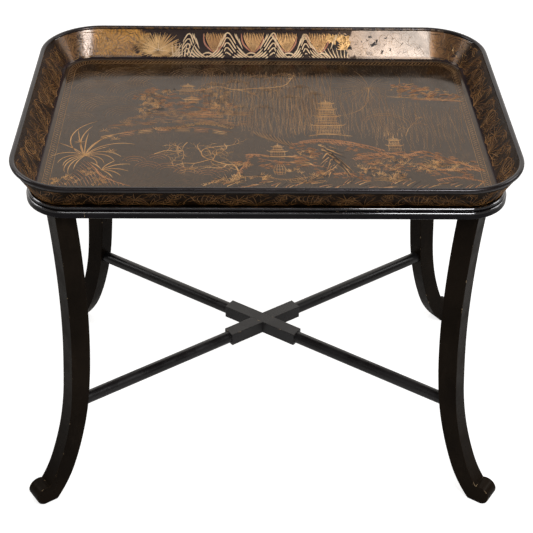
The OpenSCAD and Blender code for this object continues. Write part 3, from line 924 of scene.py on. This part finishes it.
class Nodes:
    """The node tree of a material or a world, with a method for each kind of node in use."""

    def __init__(self, owner):
        owner.use_nodes = True
        self.tree = owner.node_tree

    def put(self, socket, value):
        """Links an output to the socket, or sets the socket to a number, a vector or a colour."""
        if isinstance(value, bpy.types.NodeSocket):
            self.tree.links.new(value, socket)
        else:
            socket.default_value = value

    def node(self, kind, **inputs):
        node = self.tree.nodes.new("ShaderNode" + kind)
        for key, value in inputs.items():
            self.put(node.inputs[key.replace("_", " ")], value)
        return node

    def math(self, operation, a, b=0.0, clamp=False):
        node = self.node("Math")
        node.operation = operation
        node.use_clamp = clamp
        self.put(node.inputs[0], a)
        self.put(node.inputs[1], b)
        return node.outputs[0]

    def times(self, product, *factors):
        for factor in factors:
            product = self.math("MULTIPLY", product, factor)
        return product

    def plus(self, a, b, clamp=False):
        return self.math("ADD", a, b, clamp)

    def minus(self, a, b, clamp=False):
        return self.math("SUBTRACT", a, b, clamp)

    def apart(self, a, b):
        """How far two numbers are from each other."""
        return self.math("ABSOLUTE", self.minus(a, b))

    def dot(self, a, b):
        node = self.node("VectorMath")
        node.operation = "DOT_PRODUCT"
        self.put(node.inputs[0], a)
        self.put(node.inputs[1], b)
        return node.outputs["Value"]

    def remap(self, value, low, high, to_low=0.0, to_high=1.0):
        """A smooth step from to_low, where value is low, to to_high, where it is high."""
        node = self.node("MapRange", Value=value, From_Min=low, From_Max=high, To_Min=to_low, To_Max=to_high)
        node.interpolation_type = "SMOOTHSTEP"
        return node.outputs["Result"]


class Shade(Nodes):
    """One procedural material on the Principled shader."""

    def __init__(self, name, **sockets):
        self.material = bpy.data.materials.new(name)
        super().__init__(self.material)
        self.bsdf = self.tree.nodes["Principled BSDF"]
        for key, value in sockets.items():
            self.feed(key.replace("_", " "), value)
        self.coords = self.node("TexCoord").outputs["Object"]

    def feed(self, socket, value):
        self.put(self.bsdf.inputs[socket], value)

    def noise(self, scale, detail=4.0, roughness=0.55, stretch=(1, 1, 1), distortion=0.0):
        place = self.node("Mapping", Scale=stretch, Vector=self.coords).outputs["Vector"]
        return self.node("TexNoise", Scale=scale, Detail=detail, Roughness=roughness, Distortion=distortion,
                         Vector=place).outputs["Fac"]

    def axis(self, name):
        return self.node("SeparateXYZ", Vector=self.coords).outputs[name]

    def facing(self, axis):
        """How far the surface faces along an axis, from 1 to -1."""
        return self.node("SeparateXYZ", Vector=self.coords.node.outputs["Normal"]).outputs[axis]

    def curls(self, scale, count, thickness, stretch=(1, 1, 1)):
        """Fine curling lines that follow the level lines of a noise: 1 on a line, 0 between."""
        levels = self.times(self.noise(scale, 2, 0.5, stretch, 0.6), count)
        return self.remap(self.math("PINGPONG", levels, 0.5), thickness, thickness * 0.4)

    def blend(self, fac, a, b):
        node = self.node("Mix")
        node.data_type = "RGBA"
        self.put(node.inputs[0], fac)
        for socket, value in ((node.inputs[6], a), (node.inputs[7], b)):
            self.put(socket, value + (1,) if isinstance(value, tuple) else value)
        return node.outputs[2]

    def edges(self, radius):
        """0 on flat faces, rising towards 1 along sharp edges; and the normal with those edges rounded."""
        bevel = self.node("Bevel", Radius=radius)
        bevel.samples = 6
        rounded = bevel.outputs["Normal"]
        return self.minus(1.0, self.dot(rounded, self.node("NewGeometry").outputs["Normal"])), rounded

    def bump(self, height, strength, distance, **inputs):
        bumps = self.node("Bump", Strength=strength, Distance=distance, Height=height, **inputs)
        self.feed("Normal", bumps.outputs["Normal"])


def metal_paint(name, dark, light, roughness, metallic, coat=0.3, specular=0.5):
    """Powdered metal in varnish: patchy, rubbed thin in places."""
    s = Shade(name, Metallic=metallic, Coat_Weight=coat, Coat_Roughness=0.08, Specular_IOR_Level=specular)
    worn = s.remap(s.noise(310, 3), 0.60, 0.72)
    colour = s.blend(s.remap(s.noise(34, 5), 0.36, 0.64), dark, light)
    s.feed("Base Color", s.blend(worn, colour, tuple(c * 0.35 for c in dark)))
    s.feed("Roughness", s.remap(s.noise(120, 3), 0.3, 0.7, roughness - 0.07, roughness + 0.1))
    s.bump(s.noise(900, 2), 0.25, 0.0002)
    return s.material


def wall_ground(s, x, back):
    """Dull bronze on the side walls; on the back wall, gold leaf that pales towards the right and is rubbed
    at the corners, with a pale patch of painted highlight where a glare falls on the back-left corner."""
    patches = s.remap(s.noise(22, 5), 0.35, 0.65)
    golden = s.blend(patches, (0.34, 0.150, 0.030), (0.57, 0.275, 0.060))
    tan = s.blend(patches, (0.165, 0.115, 0.082), (0.24, 0.175, 0.130))
    pale = s.blend(patches, (0.17, 0.135, 0.110), (0.25, 0.205, 0.170))
    bronze = s.blend(patches, (0.009, 0.0045, 0.002), (0.030, 0.015, 0.006))
    leaf = s.blend(s.remap(x, *GOLDEN_TO_TAN), golden, s.blend(s.remap(x, *TAN_TO_PALE), tan, pale))
    leaf = s.blend(s.remap(s.math("ABSOLUTE", x), *LEAF_TO_CORNER), leaf, (0.29, 0.150, 0.068))
    # Painted highlight: a pale patch where a glare falls on the back-left corner
    painted_glare = s.remap(s.apart(x, GLARE_X), 0.017, 0.009)
    return s.blend(back, bronze, s.blend(painted_glare, leaf, (0.27, 0.21, 0.175)))


def tray_lacquer():
    """Old black lacquer: a hazy floor, walls with a rubbed bronze ground, and a clear varnish over all."""
    s = Shade("tray_lacquer", Specular_Tint=(1.0, 0.68, 0.44, 1), Coat_Roughness=0.05)
    x, y, z = s.axis("X"), s.axis("Y"), s.axis("Z")
    rise = s.remap(z, (FLOOR_Z + 0.8) * MM, (FLOOR_Z + 2.5) * MM)
    # Painted shade: the inner wall turns dark just above its crease with the floor
    foot_shade = s.remap(z, (FLOOR_Z + 8) * MM, (FLOOR_Z + 4.5) * MM)
    up = s.facing("Z")
    back = s.remap(s.facing("Y"), -0.35, -0.7)
    inner = s.times(rise, s.remap(up, 0.1, 0.3))
    outer = s.times(rise, s.remap(up, -0.1, -0.3))

    grain = s.noise(160, 4, 0.6, (1, 0.4, 1))
    floor = s.blend(s.remap(s.noise(9, 6, 0.6), 0.3, 0.7), (0.006, 0.0035, 0.002), (0.018, 0.010, 0.005))
    floor = s.blend(s.remap(grain, 0.45, 0.75, 0, 0.5), floor, (0.040, 0.022, 0.010))
    faded = s.times(s.curls(26, 22, 0.22, (1, 0.6, 1)), s.remap(s.noise(14, 4), 0.42, 0.62, 0, 0.6))
    floor = s.blend(faded, floor, (0.085, 0.042, 0.017))

    # The curls fade out on the pale stretch
    shown = s.minus(1.0, s.remap(s.apart(x, PALE_X), 0.10, 0.07), True)
    curl = s.times(s.curls(30, 16, 0.30), s.plus(s.times(shown, 0.5), 0.05))
    worn = s.remap(s.noise(34, 5), 0.66, 0.70)
    # The striped rocks stand on a blue-black stretch of the back wall
    ragged = s.plus(x, s.remap(s.noise(60, 3), 0.3, 0.7, -0.018, 0.018))
    striped = s.times(s.remap(s.apart(ragged, STRIPED_X), *STRIPED_EDGE), s.math("GREATER_THAN", y, BACK_Y))
    # Gaps in the gilding show the dark ground, and so does the painted shade at the wall's foot
    gaps_and_foot_shade = s.math("MAXIMUM", s.math("MAXIMUM", curl, worn), s.math("MAXIMUM", striped, foot_shade))
    inner_wall = s.blend(gaps_and_foot_shade, wall_ground(s, x, back), (0.024, 0.018, 0.024))
    outer_wall = s.blend(s.curls(34, 14, 0.3), (0.006, 0.003, 0.0015), (0.022, 0.011, 0.004))
    s.feed("Base Color", s.blend(outer, s.blend(inner, floor, inner_wall), outer_wall))

    gilt = s.times(inner, s.minus(1.0, gaps_and_foot_shade))
    s.feed("Metallic", s.times(gilt, back, 0.8))
    smear = s.remap(s.noise(26, 5), 0.35, 0.7, 0.12, 0.26)
    s.feed("Roughness", s.plus(smear, s.plus(s.times(gilt, 0.18), s.times(outer, 0.25))))
    # The side walls, the outside and the striped stretch are duller than the floor and the back
    sides = s.math("MULTIPLY", inner, s.minus(0.4, back), True)
    dulled = s.plus(s.plus(s.times(outer, 0.56), sides), s.times(inner, striped, 0.42))
    s.feed("Specular IOR Level", s.minus(0.6, dulled))
    varnish = s.times(inner, back, 0.10, s.minus(1.0, striped))
    s.feed("Coat Weight", s.plus(varnish, s.minus(0.2, s.times(dulled, 0.42), True)))
    s.bump(s.plus(grain, s.noise(700, 2)), 0.10, 0.0002)
    return s.material


def black_paint(name, base, sheen, roughness, edge, amount, stretch=(1, 1, 1), grain_scale=70,
                tint=(1.0, 1.0, 1.0), coat=0.0, gilded=False, dull_sides=False):
    """Black paint or lacquer: brush marks, rubbed edges and small pale chips along them."""
    s = Shade(name, Specular_IOR_Level=sheen, Specular_Tint=tint + (1,), Coat_Weight=coat,
              Coat_Roughness=0.07, Coat_IOR=1.5 + 0.5 * coat)
    edges, rounded = s.edges(edge)
    rubbed = s.remap(s.times(edges, s.remap(s.noise(60, 5), 0.35, 0.65)), 0.08, 0.4)
    # Feet near the ground are knocked more often
    knocks = s.plus(s.noise(85, 3), s.remap(s.axis("Z"), 0.06, 0.02, 0.0, 0.09))
    chips = s.times(s.remap(edges, 0.03, 0.10), s.remap(knocks, amount, amount + 0.05))
    tone = s.blend(s.remap(s.noise(7, 4), 0.35, 0.65), base, tuple(c * 1.9 for c in base))
    brushed = s.noise(grain_scale, 5, 0.65, stretch)
    tone = s.blend(s.remap(brushed, 0.5, 0.75, 0, 0.6), tone, tuple(c * 2.6 for c in base))
    tone = s.blend(s.times(rubbed, 0.55), tone, (0.10, 0.065, 0.04))
    tone = s.blend(chips, tone, CHIPPED)
    if gilded:
        # The gilding of the back wall runs up on to the inner side of the rim
        x = s.axis("X")
        leaf = s.blend(s.remap(x, 0.10, 0.20), (0.17, 0.090, 0.032), (0.24, 0.17, 0.11))
        leaf = s.blend(s.remap(s.noise(110, 3), 0.42, 0.56), leaf, (0.045, 0.028, 0.020))
        back = s.times(s.remap(s.facing("Y"), -0.55, -0.68), s.math("GREATER_THAN", s.axis("Y"), BACK_Y))
        tone = s.blend(s.times(back, s.remap(s.math("ABSOLUTE", x), 0.330, 0.300)), tone, leaf)
    s.feed("Base Color", tone)
    if dull_sides:
        # The mouldings on top are polished by use, the upright faces are not
        polish = s.remap(s.facing("Z"), 0.02, 0.30)
        s.feed("Specular IOR Level", s.math("MULTIPLY", s.plus(polish, 0.16), sheen, True))
        s.feed("Coat Weight", s.times(polish, coat))
    smear = s.remap(s.noise(30, 4), 0.3, 0.7, roughness - 0.08, roughness + 0.12)
    s.feed("Roughness", s.plus(smear, s.times(chips, 0.3), True))
    s.bump(brushed, 0.18, 0.0004, Normal=rounded)
    return s.material


def bare_metal(name, colour, roughness):
    s = Shade(name, Metallic=1.0)
    rust = s.remap(s.noise(240, 5), 0.55, 0.7)
    s.feed("Base Color", s.blend(rust, colour, (0.16, 0.08, 0.04)))
    s.feed("Roughness", s.remap(s.noise(400, 3), 0.3, 0.7, roughness, roughness + 0.25))
    s.bump(s.noise(1200, 2), 0.2, 0.0001)
    return s.material


def bare_wood(name, light, dark):
    s = Shade(name, Roughness=0.6)
    grain = s.noise(90, 6, 0.6, (0.15, 1, 1), 0.6)
    s.feed("Base Color", s.blend(s.remap(grain, 0.35, 0.65), light, dark))
    s.feed("Roughness", s.remap(grain, 0.3, 0.7, 0.5, 0.7))
    s.bump(grain, 0.3, 0.0003)
    return s.material


def dress(endings, material):
    """Gives the material to every CAD node whose name ends in one of endings."""
    for name, piece in nodes.items():
        if name.endswith(endings):
            piece.data.materials.clear()
            piece.data.materials.append(material)


def dress_nodes():
    dress("tray_body", tray_lacquer())
    dress("rim_bead", black_paint("bead_lacquer", (0.007, 0.005, 0.0045), 0.5, 0.22, 0.0015, 0.58,
                                  tint=(0.97, 0.92, 1.0), coat=0.15, gilded=True))
    dress(("_rail", "_corner"), black_paint("frame_paint", (0.004, 0.0032, 0.0036), 1.0, 0.12, 0.0012, 0.62,
                                            grain_scale=60, tint=(0.9, 0.9, 1.0), coat=1.0, dull_sides=True))
    dress("_leg", black_paint("leg_paint", (0.0085, 0.0058, 0.0038), 0.05, 0.30, 0.0022, 0.64, (1, 1, 0.25),
                              tint=(1.0, 0.85, 0.72)))
    dress(("_rod", "_bar"), black_paint("stretcher_paint", (0.010, 0.009, 0.0095), 0.5, 0.26, 0.0015, 0.6))
    dress(("_screws", "_screw"), bare_metal("screw_steel", (0.42, 0.41, 0.40), 0.35))
    dress("rim_wire", bare_metal("iron_wire", (0.26, 0.24, 0.23), 0.45))
    dress("frame_dowels", bare_wood("beech", (0.62, 0.45, 0.28), (0.48, 0.32, 0.18)))


def mix_paints():
    return {
        "gold": metal_paint("gold_paint", (0.55, 0.280, 0.100), (0.75, 0.430, 0.175), 0.45, 0.7),
        "wall_gold": metal_paint("bright_gold_paint", (0.50, 0.280, 0.100), (0.68, 0.405, 0.160), 0.40, 0.7),
        "side_gold": metal_paint("dull_gold_paint", (0.26, 0.118, 0.034), (0.44, 0.215, 0.066), 0.42, 0.6,
                                 0.1),
        "copper": metal_paint("copper_paint", (0.44, 0.190, 0.078), (0.60, 0.280, 0.120), 0.48, 0.7),
        "faint": metal_paint("rubbed_bronze_paint", (0.10, 0.055, 0.024), (0.20, 0.110, 0.050), 0.48, 0.5),
        "bronze": metal_paint("bronze_paint", (0.34, 0.185, 0.078), (0.48, 0.280, 0.125), 0.48, 0.7),
        "cream": metal_paint("cream_paint", (0.70, 0.48, 0.27), (0.85, 0.62, 0.38), 0.45, 0.4),
        "dark": metal_paint("dark_lines", (0.024, 0.017, 0.014), (0.042, 0.030, 0.024), 0.4, 0.0, 0.0, 0.32),
        "coral": metal_paint("coral_paint", (0.46, 0.150, 0.075), (0.60, 0.220, 0.110), 0.45, 0.1),
    }


# ---------------------------------------------------------------- room

# The camera was fitted to the photo: its place, in metres, its angles in degrees, and its lens
CAMERA = (-0.03934, -1.80189, 1.58015)
PITCH_DOWN, YAW, ROLL = 35.354, 1.425, 0.956
LENS, SENSOR = 85.59, 36

FLOOR_HALF = 14
FLOOR_GLOW = 0.78
# The backdrop's middle lies this way, and its brightness falls off to the room's around it
BACKDROP = (0, 0.95, 0.31)
BACKDROP_COLOUR = (1, 0.955, 0.90, 1)
BACKDROP_EDGE = (0.35, 0.85)
ROOM_LIGHT, BACKDROP_LIGHT = 0.14, 0.95

LAMPS_AIM = (0, 0, 0.55)
LAMPS = (  # name, place, width, height, watts
    ("key_softbox", (0.95, -1.9, 2.6), 0.9, 1.1, 33),
    ("front_strip", (-0.2, -2.3, 3.0), 3.4, 0.22, 9),
    ("left_panel", (-3.2, 0.6, 2.6), 1.6, 1.6, 20),
    ("right_panel", (3.2, 0.6, 2.6), 1.6, 1.6, 20),
)


def make_camera():
    data = bpy.data.cameras.new("camera")
    data.sensor_width = SENSOR
    data.lens = LENS
    pitch, yaw, roll = radians(PITCH_DOWN), radians(YAW), radians(ROLL)
    forward = Vector((sin(yaw) * cos(pitch), cos(yaw) * cos(pitch), -sin(pitch)))
    level = Vector((cos(yaw), -sin(yaw), 0))
    up = level.cross(forward)
    right = cos(roll) * level + sin(roll) * up
    top = -sin(roll) * level + cos(roll) * up
    turn = Matrix((right, top, -forward)).transposed()
    camera = add("camera", data)
    camera.matrix_world = Matrix.Translation(CAMERA) @ turn.to_4x4()
    bpy.context.scene.camera = camera


def make_floor():
    """A pale floor, which the camera sees overexposed and the object's gloss sees dimmer."""
    mesh = bpy.data.meshes.new("floor")
    corners = [(x * FLOOR_HALF, y * FLOOR_HALF, 0) for x, y in ((-1, -1), (1, -1), (1, 1), (-1, 1))]
    mesh.from_pydata(corners, [], [(0, 1, 2, 3)])
    pale = Shade("pale_floor", Base_Color=(0.62, 0.62, 0.62, 1), Roughness=0.9, Specular_IOR_Level=0.1,
                 Emission_Color=(1, 1, 1, 1))
    pale.feed("Emission Strength", pale.times(pale.node("LightPath").outputs["Is Camera Ray"], FLOOR_GLOW))
    mesh.materials.append(pale.material)
    floor = add("floor", mesh)


def make_backdrop():
    """A dark room with a bright backdrop behind the table."""
    world = bpy.data.worlds.new("studio")
    bpy.context.scene.world = world
    sky = Nodes(world)
    towards = sky.dot(sky.node("TexCoord").outputs["Generated"], BACKDROP)
    background = sky.tree.nodes["Background"]
    strength = sky.remap(towards, *BACKDROP_EDGE, ROOM_LIGHT, BACKDROP_LIGHT)
    sky.put(background.inputs["Strength"], strength)
    sky.put(background.inputs["Color"], BACKDROP_COLOUR)


def make_lamps():
    for name, place, width, height, watts in LAMPS:
        data = bpy.data.lights.new(name, "AREA")
        data.shape = "RECTANGLE"
        data.size, data.size_y = width, height
        data.energy = watts
        lamp = add(name, data)
        lamp.location = place
        lamp.rotation_euler = (Vector(LAMPS_AIM) - Vector(place)).to_track_quat("-Z", "Y").to_euler()


make_camera()
make_floor()
make_backdrop()
make_lamps()
bpy.context.scene.view_settings.view_transform = "Standard"
dress_nodes()
paints = mix_paints()
gild_floor(paints)
gild_back_wall(paints)
gild_other_walls(paints)
